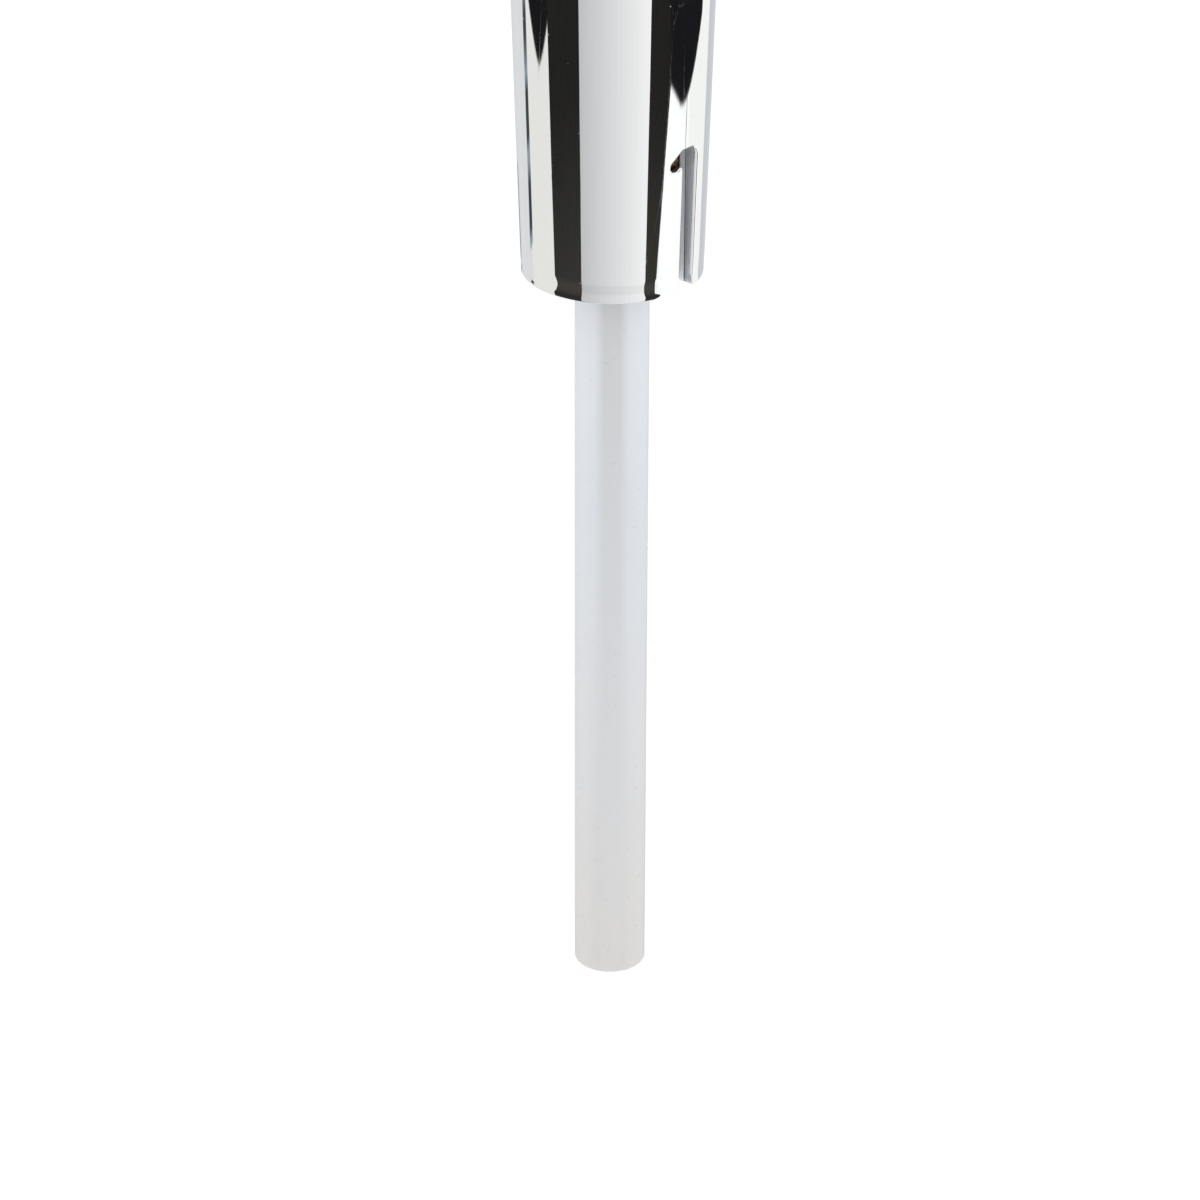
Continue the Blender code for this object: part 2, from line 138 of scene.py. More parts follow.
class Nodes:
    """A short way to write a Principled material's node tree."""

    def __init__(self, name, colour, roughness, metallic=0.0):
        self.material = bpy.data.materials.new(name)
        self.material.use_nodes = True
        self.tree = self.material.node_tree
        self.shader = self.tree.nodes["Principled BSDF"]
        self.shader.inputs["Base Color"].default_value = (*colour, 1.0)
        self.shader.inputs["Roughness"].default_value = roughness
        self.shader.inputs["Metallic"].default_value = metallic
        self.place = self.tree.nodes.new("ShaderNodeTexCoord").outputs["Object"]

    def set(self, **values):
        for name, value in values.items():
            self.shader.inputs[name.replace("_", " ")].default_value = value

    def link(self, output, socket):
        self.tree.links.new(output, self.shader.inputs[socket])

    def rough(self, value, low, high):
        """Roughness from low to high over the middle of the value's spread."""
        self.link(self.range(value, 0.3, 0.7, low, high), "Roughness")

    def colour(self, value, stops):
        self.link(self.ramp(value, stops), "Base Color")

    def feed(self, socket, value):
        """Sets the socket to a constant, or links another node's output to it."""
        if isinstance(value, bpy.types.NodeSocket):
            self.tree.links.new(value, socket)
        elif socket.type == "RGBA":
            socket.default_value = (*value, 1.0)
        else:
            socket.default_value = value

    def node(self, kind, **inputs):
        node = self.tree.nodes.new("ShaderNode" + kind)
        for name, value in inputs.items():
            self.feed(node.inputs[name.replace("_", " ")], value)
        return node

    def stretched(self, scale):
        return self.node("Mapping", Vector=self.place, Scale=scale).outputs["Vector"]

    def noise(self, scale, detail=3.0, roughness=0.5, stretch=(1, 1, 1)):
        place = self.stretched(stretch)
        texture = self.node("TexNoise", Vector=place, Scale=scale, Detail=detail, Roughness=roughness)
        return texture.outputs["Fac"]

    def cells(self, scale, stretch=(1, 1, 1), feature="F1"):
        texture = self.node("TexVoronoi", Vector=self.stretched(stretch), Scale=scale)
        texture.feature = feature
        return texture.outputs["Distance"]

    def ramp(self, value, stops):
        node = self.node("ValToRGB", Fac=value)
        elements = node.color_ramp.elements
        while len(elements) < len(stops):
            elements.new(0.5)
        for element, (position, colour) in zip(elements, stops):
            element.position = position
            element.color = (*colour, 1.0) if isinstance(colour, tuple) else (colour, colour, colour, 1.0)
        return node.outputs["Color"]

    def range(self, value, low, high, to_low, to_high):
        node = self.node("MapRange", Value=value, From_Min=low, From_Max=high, To_Min=to_low, To_Max=to_high)
        return node.outputs["Result"]

    def maths(self, operation, first, second):
        node = self.node("Math")
        node.operation = operation
        self.feed(node.inputs[0], first)
        self.feed(node.inputs[1], second)
        return node.outputs[0]

    def mix(self, factor, first, second):
        """Mixes two colours, through the node's colour sockets."""
        node = self.node("Mix", Factor=factor)
        node.data_type = "RGBA"
        self.feed(node.inputs[6], first)
        self.feed(node.inputs[7], second)
        return node.outputs[2]

    def part(self, axis):
        """One of the three object coordinates."""
        return self.node("SeparateXYZ", Vector=self.place).outputs[axis]

    def around(self):
        """0 to 1 round the axis, starting and ending at the back, with the front at 0.5."""
        to_front = self.maths("MULTIPLY", self.part("Y"), -1.0)
        angle = self.maths("ARCTAN2", self.part("X"), to_front)
        return self.range(angle, -math.pi, math.pi, 0.0, 1.0)

    def bump(self, value, strength, distance):
        node = self.node("Bump", Height=value, Strength=strength, Distance=distance)
        last = self.shader.inputs["Normal"]
        if last.is_linked:
            self.tree.links.new(last.links[0].from_socket, node.inputs["Normal"])
        self.tree.links.new(node.outputs["Normal"], last)


def chrome():
    """Polished chrome plate: faint polishing lines along the tube, hair scratches and dust specks."""
    look = Nodes("chrome_plate", (0.95, 0.955, 0.96), 0.03, 1.0)
    lines = look.noise(1500.0, 2.0, 0.6, (1, 1, 0.004))
    look.colour(lines, [(0.3, (0.948, 0.953, 0.958)), (0.7, (0.962, 0.967, 0.972))])
    specks = look.ramp(look.cells(520.0), [(0.0, 1.0), (0.035, 1.0), (0.05, 0.0)])
    scratches = look.ramp(look.cells(150.0, (1, 1, 0.05), "DISTANCE_TO_EDGE"), [(0.0, 1.0), (0.003, 0.0)])
    haze = look.noise(60.0, 4.0, 0.6, (1, 1, 0.15))
    rough = look.range(haze, 0.35, 0.7, 0.010, 0.028)
    marks = look.maths("ADD", look.maths("MULTIPLY", specks, 0.3), look.maths("MULTIPLY", scratches, 0.06))
    look.link(look.maths("ADD", rough, marks), "Roughness")
    look.bump(lines, 0.12, 0.00001)
    return look.material


def cut_face(name, dull, bright, metallic):
    """A milled face of the slot: mill lines down it, and painted shade in the hook's pocket, dark brown,
    with the brass pin's reflection painted in.
    """
    look = Nodes(name, bright, 0.35, metallic)
    lines = look.noise(2600.0, 2.0, 0.6, (1, 1, 0.01))
    base_tone = look.ramp(lines, [(0.35, dull), (0.65, bright)])
    beside_slot = look.range(look.around(), 0.640, 0.633, 0.0, 1.0)
    in_hook = look.range(look.part("Z"), RIM + 0.0160, RIM + 0.0170, 0.0, 1.0)
    patches = look.noise(800.0, 4.0, 0.6)
    # Painted shade in the hook: its dark brown tones stand for the shaded pocket, with the brass pin's
    # reflection painted in.
    painted_pocket_shade = look.ramp(patches, [(0.35, (0.03, 0.022, 0.018)), (0.62, (0.22, 0.15, 0.11))])
    look.link(look.mix(look.maths("MULTIPLY", beside_slot, in_hook), base_tone, painted_pocket_shade), "Base Color")
    look.rough(lines, 0.28, 0.45)
    look.bump(lines, 0.25, 0.00003)
    return look.material


def steel():
    look = Nodes("bright_steel", (0.60, 0.60, 0.61), 0.24, 1.0)
    grain = look.noise(1400.0, 3.0, 0.6, (1, 1, 0.06))
    look.rough(grain, 0.17, 0.32)
    look.bump(grain, 0.15, 0.00002)
    return look.material


def aluminium():
    """Turned aluminium: fine rings left by the lathe."""
    look = Nodes("satin_aluminium", (0.72, 0.73, 0.74), 0.3, 1.0)
    rings = look.noise(2400.0, 2.0, 0.5, (0.01, 0.01, 1))
    look.rough(rings, 0.22, 0.38)
    look.bump(rings, 0.3, 0.00003)
    return look.material


def brass():
    """Brass that has darkened, with brown patches and bright rubbed spots."""
    look = Nodes("aged_brass", (0.40, 0.27, 0.15), 0.35, 1.0)
    patches = look.noise(700.0, 4.0, 0.6)
    tones = [(0.32, (0.035, 0.025, 0.02)), (0.50, (0.13, 0.09, 0.065)), (0.66, (0.58, 0.42, 0.32))]
    look.colour(patches, tones)
    look.rough(patches, 0.5, 0.25)
    look.bump(patches, 0.2, 0.00004)
    return look.material


def milky_tube():
    """Semi-gloss milky white tube, with painted shade in darker lengthwise bands.

    It is warmer towards the tip, painted warm light, and palest just below the mouth, painted light that
    lifts the shade the sleeve casts there.
    """
    look = Nodes("milky_white_tube", (0.68, 0.70, 0.74), 0.33)
    look.set(Subsurface_Weight=0.2, Subsurface_Scale=0.0015, IOR=1.47)
    look.shader.inputs["Subsurface Radius"].default_value = (1.0, 0.9, 0.85)
    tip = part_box("white_tube_4")[0].z
    cloud = look.noise(90.0, 4.0, 0.55, (1, 1, 0.2))
    cool = look.ramp(cloud, [(0.3, (0.655, 0.688, 0.738)), (0.7, (0.675, 0.706, 0.750))])
    # Painted warm light, growing towards the tip.
    painted_warm_light_mask = look.range(look.part("Z"), tip, tip + 0.075, 1.0, 0.0)
    warm = look.mix(painted_warm_light_mask, cool, (0.645, 0.628, 0.612))
    # Painted light: paler just below the mouth, lifting the shade that the sleeve casts on the tube there.
    painted_light_under_mouth = look.range(look.part("Z"), RIM - 0.032, RIM - 0.002, 0.0, 1.0)
    base_tone = look.mix(painted_light_under_mouth, warm, (0.725, 0.755, 0.800))
    # Painted shade: the darker band down the front stands for the shade on the tube's front, and fainter
    # bands of the same tone run round the sides and back.
    painted_shade_bands = [(0.0, 0.0), (0.10, 0.0), (0.15, 0.6), (0.20, 0.5), (0.25, 0.0), (0.425, 0.0), (0.468, 1.0)]
    painted_shade_bands += [(0.535, 1.0), (0.575, 0.0), (0.72, 0.0), (0.77, 0.5), (0.85, 0.4), (0.90, 0.0)]
    shade = look.ramp(look.around(), painted_shade_bands)
    # The painted shade fades out towards the tip.
    shade_fade_near_tip = look.range(look.part("Z"), tip + 0.004, tip + 0.09, 0.12, 1.0)
    painted_shade_tone = look.mix(look.maths("MULTIPLY", shade, shade_fade_near_tip), base_tone, (0.575, 0.585, 0.600))
    specks = look.ramp(look.cells(900.0), [(0.0, 1.0), (0.022, 1.0), (0.032, 0.0)])
    look.link(look.mix(specks, painted_shade_tone, (0.58, 0.58, 0.59)), "Base Color")
    look.rough(look.noise(500.0, 3.0), 0.27, 0.40)
    look.bump(look.noise(260.0, 3.0, 0.5, (1, 1, 0.4)), 0.10, 0.00005)
    return look.material


def nylon():
    look = Nodes("white_nylon", (0.68, 0.68, 0.66), 0.45)
    look.set(Subsurface_Weight=0.15, Subsurface_Scale=0.001)
    grain = look.noise(1500.0, 4.0)
    look.colour(grain, [(0.3, (0.63, 0.63, 0.61)), (0.7, (0.72, 0.72, 0.70))])
    look.bump(grain, 0.2, 0.00003)
    return look.material


def rubber():
    """Moulded black rubber, with a fine pebble and patches of dusty grey."""
    look = Nodes("black_rubber", (0.022, 0.022, 0.024), 0.6)
    pebble = look.cells(1700.0)
    dust = look.noise(140.0, 5.0, 0.6)
    look.colour(dust, [(0.3, (0.016, 0.016, 0.017)), (0.8, (0.026, 0.026, 0.026))])
    look.rough(dust, 0.5, 0.72)
    look.bump(pebble, 0.35, 0.00006)
    return look.material


def plastic():
    look = Nodes("black_plastic", (0.03, 0.03, 0.032), 0.4)
    grain = look.noise(2200.0, 3.0, 0.6)
    wear = look.noise(120.0, 4.0, 0.6)
    look.colour(wear, [(0.3, (0.024, 0.024, 0.026)), (0.75, (0.042, 0.042, 0.044))])
    look.rough(wear, 0.32, 0.48)
    look.bump(grain, 0.25, 0.00003)
    return look.material


CHROME = chrome()
SLEEVE_CUT = cut_face("plated_cut_face", (0.50, 0.54, 0.56), (0.68, 0.72, 0.75), 0.45)
LINER_CUT = cut_face("steel_cut_face", (0.76, 0.79, 0.82), (0.92, 0.95, 0.97), 0.15)
STEEL = steel()
ALUMINIUM = aluminium()
BRASS = brass()
TUBE = milky_tube()
NYLON = nylon()
RUBBER = rubber()
PLASTIC = plastic()


# ---------------------------------------------------------------- shape helpers

def rounded_path(corners, closed=False, arc_steps=8, longest=None):
    """Points and headings along a path of (x, y, corner radius), its corners rounded by arcs."""
    count = len(corners)
    points = []
    for index, (x, y, radius) in enumerate(corners):
        here = Vector((x, y))
        before = Vector(corners[index - 1][:2])
        after = Vector(corners[(index + 1) % count][:2])
        first = index == 0 and not closed
        last = index == count - 1 and not closed
        heading_in = math.atan2(*(here - before).yx) if not first else math.atan2(*(after - here).yx)
        heading_out = math.atan2(*(after - here).yx) if not last else heading_in
        turn = math.remainder(heading_out - heading_in, 2 * math.pi)
        if first or last or radius == 0 or abs(turn) < 1e-6:
            points.append((here, heading_in))
            if radius == 0 and not (first or last):
                points.append((here, heading_out))
            continue
        reach = radius * math.tan(abs(turn) / 2)
        side = math.copysign(1.0, turn)
        start = here - Vector((math.cos(heading_in), math.sin(heading_in))) * reach
        centre = start + Vector((-math.sin(heading_in), math.cos(heading_in))) * radius * side
        for step in range(arc_steps + 1):
            heading = heading_in + turn * step / arc_steps
            outwards = Vector((math.sin(heading), -math.cos(heading))) * radius * side
            points.append((centre + outwards, heading))
    if longest is None:
        return points
    divided = [points[0]]
    for (a, heading_a), (b, heading_b) in zip(points, points[1:]):
        pieces = max(1, math.ceil((b - a).length / longest))
        for piece in range(1, pieces):
            divided.append((a.lerp(b, piece / pieces), heading_b))
        divided.append((b, heading_b))
    return divided


def new_object(name, data):
    item = bpy.data.objects.new(name, data)
    bpy.context.scene.collection.objects.link(item)
    return item


def link_piece(name, mesh, materials, body, node):
    """Puts a piece of the cane in the scene. It rides on the body and stands for the CAD node."""
    for material in materials:
        mesh.materials.append(material)
    item = new_object(name, mesh)
    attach(item, body)
    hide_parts(node)
    return item


def to_mesh(name, builder):
    mesh = bpy.data.meshes.new(name)
    builder.to_mesh(mesh)
    builder.free()
    return mesh


def smooth(mesh, angle=SHARP_ANGLE):
    mesh.shade_smooth()
    mesh.set_sharp_from_angle(angle=math.radians(angle))
    return mesh


def finish_mesh(name, builder, angle=SHARP_ANGLE):
    bmesh.ops.remove_doubles(builder, verts=builder.verts, dist=1e-8)
    bmesh.ops.recalc_face_normals(builder, faces=builder.faces)
    return smooth(to_mesh(name, builder), angle)


def full_turn(steps):
    return [2 * math.pi * step / steps for step in range(steps)]


def bridge(builder, first, second):
    """Faces between two rings of as many vertices, once round."""
    count = len(first)
    for step in range(count):
        after = (step + 1) % count
        builder.faces.new((first[step], first[after], second[after], second[step]))


def add_turned(builder, corners, sides=96):
    """Adds a closed profile of (radius, height, corner radius), in mm above the rim, turned round Z."""
    loops = []
    for (radius, height), _ in rounded_path(corners, closed=True, arc_steps=5):
        z = RIM + height * MM
        reach = radius * MM
        if radius < 1e-6:
            loops.append([builder.verts.new((0.0, 0.0, z))])
        else:
            ring = [(reach * math.cos(a), reach * math.sin(a), z) for a in full_turn(sides)]
            loops.append([builder.verts.new(place) for place in ring])
    for first, second in zip(loops, loops[1:] + loops[:1]):
        if len(first) == 1 and len(second) == 1:
            continue
        for step in range(sides):
            after = (step + 1) % sides
            if len(first) == 1:
                face = (first[0], second[step], second[after])
            elif len(second) == 1:
                face = (first[step], second[0], first[after])
            else:
                face = (first[step], second[step], second[after], first[after])
            builder.faces.new(face)


def turned(name, corners, material, body, node, sides=96):
    builder = bmesh.new()
    add_turned(builder, corners, sides)
    return link_piece(name, finish_mesh(name, builder), [material], body, node)


# ---------------------------------------------------------------- the slotted wall of the mouth

PATCH_FROM, PATCH_TO = 30.0, 76.0    # the part of the wall, in degrees, that the slot's outline runs through
PATCH_TOP = 24.0
COLUMN = 2.0                          # degrees between the wall's columns elsewhere
CHART = MOUTH_RADIUS + TAPER * POCKET_HEIGHT    # the radius at which the outline is laid out flat
HOOK_LOW = POCKET_HEIGHT - 1.7
SLIVER = 1e-5                         # a patch triangle this small lies along the border, in mm2


def smooth_step(value, low, high):
    share = min(1.0, max(0.0, (value - low) / (high - low)))
    return share * share * (3 - 2 * share)


def waisted_radius(height):
    """The sleeve's outside: a straight cone, drawn in a little to a shallow waist above the lip."""
    cone = MOUTH_RADIUS + TAPER * height
    draw_in = WAIST_DEPTH * smooth_step(-height, -WAIST_TOP, -WAIST)
    flare = LIP_FLARE * smooth_step(-height, -WAIST, -0.15)
    return cone - draw_in + flare


def flat_outline(bottom):
    """The wall's lower edge, laid out flat, wall on its left: along the rim, up and round the slot."""
    centre = math.radians(SLOT_ANGLE) * CHART
    left, right = centre - SLOT_HALF_WIDTH, centre + SLOT_HALF_WIDTH
    pocket = Vector((math.radians(POCKET_ANGLE) * CHART, POCKET_HEIGHT))
    hook_end = Vector((math.radians(HOOK_END_ANGLE) * CHART, HOOK_END_HEIGHT))
    along = (hook_end - pocket).normalized()
    below = Vector((along.y, -along.x)) * HOOK_HALF_WIDTH
    slope = along.y / along.x
    under, over = pocket + below, pocket - below
    end = along * HOOK_HALF_WIDTH
    tongue = (left, under.y + (left - under.x) * slope)
    top_left = (over.x + (SLOT_TOP - over.y) / slope, SLOT_TOP)
    corners = [
        (math.radians(PATCH_FROM) * CHART, bottom, 0),
        (left, bottom, SLOT_CORNER),
        (*tongue, TONGUE_CORNER),
        (*(under - end), HOOK_HALF_WIDTH * 0.995),
        (*(over - end), HOOK_HALF_WIDTH * 0.995),
        (*top_left, TOP_CORNER),
        (right, SLOT_TOP, SLOT_HALF_WIDTH * 0.98),
        (right, bottom, SLOT_CORNER),
        (math.radians(PATCH_TO) * CHART, bottom, 0),
    ]
    return rounded_path(corners, arc_steps=10, longest=0.45)


def mill_angle(angle, height):
    """Direction of the cut through the wall: the slot's own, but radial in the hook and along the rim."""
    aside = angle - SLOT_ANGLE
    if height < HOOK_LOW or aside > 0:
        return SLOT_ANGLE + aside * smooth_step(abs(aside), 12.0, 22.0)
    radial = max(angle, POCKET_ANGLE)
    share = min(1.0, (height - HOOK_LOW) / 1.5)
    return SLOT_ANGLE + (radial - SLOT_ANGLE) * share


def edge_samples(bottom):
    """The wall's whole lower edge as (angle, height, normal into the wall), once round."""
    samples = []
    for place, heading in flat_outline(bottom):
        inwards = (-math.sin(heading), math.cos(heading))
        samples.append((math.degrees(place.x / CHART), place.y, inwards))
    angle = PATCH_TO + COLUMN
    while angle < PATCH_FROM + 360 - 1e-6:
        samples.append((angle, bottom, (0.0, 1.0)))
        angle += COLUMN
    return samples


def sideways_and_outwards(angle):
    """Directions along the wall, towards growing angles, and out of it."""
    turn = math.radians(angle)
    return Vector((math.cos(turn), math.sin(turn), 0)), Vector((math.sin(turn), -math.cos(turn), 0))


def slope_at(radius_at, height):
    step = 0.02
    return (radius_at(height + step) - radius_at(height - step)) / (2 * step)


def round_the_axis(radius, angle, height):
    """A place from its radius and height in mm, and its angle from the front in degrees."""
    turn = math.radians(angle)
    return Vector((radius * math.sin(turn) * MM, -radius * math.cos(turn) * MM, RIM + height * MM))


def through_wall(angle, height, radius_from, radius_to):
    """The angle at another radius of a cut that starts at this angle and runs parallel to the mill."""
    mill = mill_angle(angle, height)
    sideways = radius_from * math.sin(math.radians(angle - mill))
    return mill + math.degrees(math.asin(sideways / radius_to))


def columns_between(first, last):
    return [first + COLUMN * step for step in range(int((last - first) / COLUMN) + 1)]


class Wall:
    """Builds one layer of the mouth's wall, with true normals for every vertex."""

    def __init__(self):
        self.builder = bmesh.new()
        self.normal = []

    def vertex(self, place, normal):
        self.builder.verts.new(place)
        self.normal.append(normal.normalized())
        return len(self.normal) - 1

    def faces(self, first, second, wrap=True, cut=False):
        self.builder.verts.ensure_lookup_table()
        count = len(first)
        for step in range(count if wrap else count - 1):
            after = (step + 1) % count
            loop = [first[step], first[after], second[after], second[step]]
            face = self.builder.faces.new([self.builder.verts[i] for i in loop])
            face.material_index = int(cut)

    def skin(self, loop, radius_at, rows, outside):
        """The outer or inner surface, from the lower edge's (vertex, angle, height) to the last row."""
        sign = 1.0 if outside else -1.0

        def surface_vertex(angle, height):
            outwards = sideways_and_outwards(angle)[1]
            normal = (outwards - Vector((0, 0, slope_at(radius_at, height)))) * sign
            return self.vertex(round_the_axis(radius_at(height), angle, height), normal)

        columns = columns_between(PATCH_TO, 360 + PATCH_FROM)
        in_patch = columns_between(PATCH_FROM, PATCH_TO)
        low_rows = [row for row in rows if row < PATCH_TOP]
        high_rows = [row for row in rows if row >= PATCH_TOP]
        patch_count = next(i for i, item in enumerate(loop) if item[1] > PATCH_TO + COLUMN / 2)
        edge = loop[patch_count - 1:] + loop[:1]
        below = [item[0] for item in edge]
        left_border, right_border = [], []
        for row in low_rows:
            line = [surface_vertex(angle, row) for angle in columns]
            self.faces(below, line, wrap=False)
            right_border.append((line[0], PATCH_TO, row))
            left_border.append((line[-1], PATCH_FROM, row))
            below = line
        top_row = high_rows[0]
        ring_angles = columns + in_patch[1:-1]
        ring = [surface_vertex(angle, top_row) for angle in ring_angles]
        over_patch = ring[len(columns):]
        self.faces(below, ring[:len(columns)], wrap=False)
        patch_top = [(item, angle, top_row) for item, angle in zip(over_patch, in_patch[1:-1])][::-1]
        patch_top = [(ring[0], PATCH_TO, top_row)] + patch_top
        patch_top.append((ring[len(columns) - 1], PATCH_FROM, top_row))
        border = loop[:patch_count] + right_border + patch_top + left_border[::-1]
        self.fill_patch(border, low_rows, in_patch, surface_vertex)
        for row in high_rows[1:]:
            above = [surface_vertex(angle, row) for angle in ring_angles]
            self.faces(ring, above)
            ring = above
        return ring, ring_angles

    def fill_patch(self, border, rows, angles, surface_vertex):
        """Triangles between the slot's outline and the patch's other three sides, laid out flat."""
        flat = [Vector((math.radians(angle) * CHART, height)) for _, angle, height in border]
        corner = [item[0] for item in border]
        clearance = 0.16        # the patch's own points keep this far from its border, in mm
        inner = []
        for row in rows:
            for angle in angles[1:-1]:
                place = Vector((math.radians(angle) * CHART, row))
                if min((place - other).length for other in flat) > clearance and inside(place, flat):
                    inner.append(place)
                    corner.append(surface_vertex(angle, row))
        result = delaunay_2d_cdt(flat + inner, [], [list(range(len(flat)))], 1, 1e-7, True)
        points, _, triangles, origins = result[:4]
        self.builder.verts.ensure_lookup_table()
        for triangle in triangles:
            middle = sum((points[i] for i in triangle), Vector((0, 0))) / 3
            area = area_tri(*[points[i] for i in triangle])
            if inside(middle, flat) and area > SLIVER:
                self.builder.faces.new([self.builder.verts[corner[origins[i][0]]] for i in triangle])

    def mesh(self, name):
        self.builder.verts.ensure_lookup_table()
        self.builder.verts.index_update()
        bmesh.ops.recalc_face_normals(self.builder, faces=self.builder.faces)
        mesh = to_mesh(name, self.builder)
        mesh.shade_smooth()
        mesh.normals_split_custom_set_from_vertices([tuple(n) for n in self.normal])
        return mesh


def inside(place, outline):
    """Whether a flat place lies inside a closed outline."""
    hit = False
    for a, b in zip(outline, outline[1:] + outline[:1]):
        if (a.y > place.y) != (b.y > place.y):
            if place.x < (b.x - a.x) * (place.y - a.y) / (b.y - a.y) + a.x:
                hit = not hit
    return hit


EDGE_STEPS = 5


def outer_strip(wall, samples, lean, outside, outer_round):
    """One line along the outer edge's round. Its lean is 0 on the skin and 90 degrees on the cut."""
    strip = []
    for angle, height, (along, upward) in samples:
        size = outer_round(angle, height)
        shift = size * (1 - math.sin(lean))
        depth = size * (1 - math.cos(lean))
        new_angle = angle + math.degrees(along * shift / CHART)
        new_height = height + upward * shift
        sideways, outwards = sideways_and_outwards(new_angle)
        surface = (outwards - Vector((0, 0, slope_at(outside, new_height)))).normalized()
        into_wall = sideways * along + Vector((0, 0, upward))
        normal = surface * math.cos(lean) - into_wall * math.sin(lean)
        place = round_the_axis(outside(new_height) - depth, new_angle, new_height)
        strip.append((wall.vertex(place, normal), new_angle, new_height))
    return strip


def inner_strip(wall, samples, lean, outside, bore, inner_round, bottom):
    """The same along the inner edge, where the slot's faces arrive in the direction of the mill."""
    strip = []
    shift = inner_round * (1 - math.sin(lean))
    radius = bore + inner_round * (1 - math.cos(lean))
    for angle, height, (along, upward) in samples:
        through = through_wall(angle, height, outside(height), radius)
        new_angle = through + math.degrees(along * shift / CHART)
        new_height = height + upward * shift
        on_rim = height <= bottom + 0.01
        sideways, _ = sideways_and_outwards(new_angle if on_rim else mill_angle(angle, height))
        into_wall = sideways * along + Vector((0, 0, upward))
        surface = -sideways_and_outwards(new_angle)[1]
        normal = surface * math.cos(lean) - into_wall * math.sin(lean)
        place = round_the_axis(radius, new_angle, new_height)
        strip.append((wall.vertex(place, normal), new_angle, new_height))
    return strip


def wall_layer(name, node, materials, bottom, outside, bore, outer_round, inner_round, rows, top_path):
    """One slotted layer: outer skin, rounded edge, cut face, rounded edge, inner skin, and its top."""
    wall = Wall()
    samples = edge_samples(bottom)
    leans = [math.pi / 2 * step / EDGE_STEPS for step in range(EDGE_STEPS + 1)]
    strips = [outer_strip(wall, samples, lean, outside, outer_round) for lean in leans]
    for lean in reversed(leans):
        strips.append(inner_strip(wall, samples, lean, outside, bore, inner_round, bottom))
    for index, (first, second) in enumerate(zip(strips, strips[1:])):
        wall.faces([item[0] for item in first], [item[0] for item in second], cut=index >= EDGE_STEPS)
    ring, angles = wall.skin(strips[0], outside, rows, True)
    inner_rows = [row for row in rows if row <= SHOULDER - 1]
    inner_ring, _ = wall.skin(strips[-1], lambda height: bore, inner_rows, False)
    for radius, height, (out, up) in top_path:
        above = []
        for angle in angles:
            normal = sideways_and_outwards(angle)[1] * out + Vector((0, 0, up))
            above.append(wall.vertex(round_the_axis(radius, angle, height), normal))
        wall.faces(ring, above)
        ring = above
    wall.faces(ring, inner_ring)
    link_piece(name, wall.mesh(name), materials, "handle", node)


def mouth_rows(last):
    """Heights of the wall's rows: fine above the lip, even past the slot, and coarse above it."""
    rows = [0.30, 0.38, 0.46, 0.54, 0.62, 0.7, 0.8, 0.9, 1.05, 1.2, 1.4, 1.6, 1.85, 2.1, 2.4, 2.7, 3.0]
    rows += [3.6, 4.3, 5.0]
    rows += [5.8 + 0.8 * step for step in range(23)]
    rows += [PATCH_TOP + 2 * step for step in range(6)]
    height = rows[-1] + 4
    while height < last:
        rows.append(height)
        height += 4
    return [row for row in rows if row < last - 0.2] + [last]


def sleeve_edge(angle, height):
    """Round of the sleeve's outer edge: finest at the rim, and broadest down the slot's right side."""
    right_side = smooth_step(angle, SLOT_ANGLE + 1, SLOT_ANGLE + 5) * smooth_step(-angle, -72, -66)
    return 0.14 + (0.12 + 0.24 * right_side) * smooth_step(height, 0.3, 2.5)


def liner_edge(angle, height):
    return 0.05


def mouth_sleeve():
    round_top = 0.6
    edge = waisted_radius(SLEEVE_TOP)
    counterbore = CORE_RADIUS + 0.1
    diagonal = math.sqrt(0.5)
    top_path = [
        (edge - 0.3 * round_top, SLEEVE_TOP - 0.3 * round_top, (diagonal, diagonal)),
        (edge - round_top, SLEEVE_TOP, (0, 1)), (counterbore, SLEEVE_TOP, (0, 1)),
        (counterbore, SLEEVE_TOP, (-1, 0)), (counterbore, SHOULDER, (-1, 0)),
        (counterbore, SHOULDER, (0, 1)), (SLEEVE_BORE, SHOULDER, (0, 1)),
    ]
    wall_layer(
        "chrome_mouth_shell", "chrome_mouth_sleeve", [CHROME, SLEEVE_CUT],
        bottom=0.0, outside=waisted_radius, bore=SLEEVE_BORE, outer_round=sleeve_edge, inner_round=0.05,
        rows=mouth_rows(SLEEVE_TOP - round_top), top_path=top_path,
    )


def mouth_liner():
    top = SHOULDER - 0.3
    wall_layer(
        "slotted_mouth_liner", "mouth_liner", [STEEL, LINER_CUT],
        bottom=LINER_INSET, outside=lambda height: LINER_RADIUS, bore=LINER_BORE,
        outer_round=liner_edge, inner_round=0.14, rows=mouth_rows(top),
        top_path=[(LINER_RADIUS, top, (0, 1)), (LINER_BORE, top, (0, 1)), (LINER_BORE, top, (-1, 0))],
    )


mouth_sleeve()
mouth_liner()


# ---------------------------------------------------------------- telescoping sections

SECTIONS = 4
TIP_RADIUS = 5.0
RADIUS_STEP = 1.25
TUBE_WALL = 0.60
REST_GAP = 0.30
SLIDE_GAP = 0.10
BOND_GAP = 0.05
DRAG_RING_WIRE = 0.7
NOSE_LENGTH = 6.0
COLLAR_LIP = 0.9


def low_of(node):
    return (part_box(node)[0].z - RIM) / MM


def high_of(node):
    return (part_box(node)[1].z - RIM) / MM


def section_radius(number):
    return TIP_RADIUS + RADIUS_STEP * (SECTIONS - number)


def section_bore(number):
    return section_radius(number) - TUBE_WALL


def wire_ring(name, middle, wire, height, material, body, node):
    """A ring of round wire, centred on a radius and a height."""
    radius = wire / 2
    section = [(middle + radius * math.cos(a), height + radius * math.sin(a), 0) for a in full_turn(20)]
    turned(name, section, material, body, node)


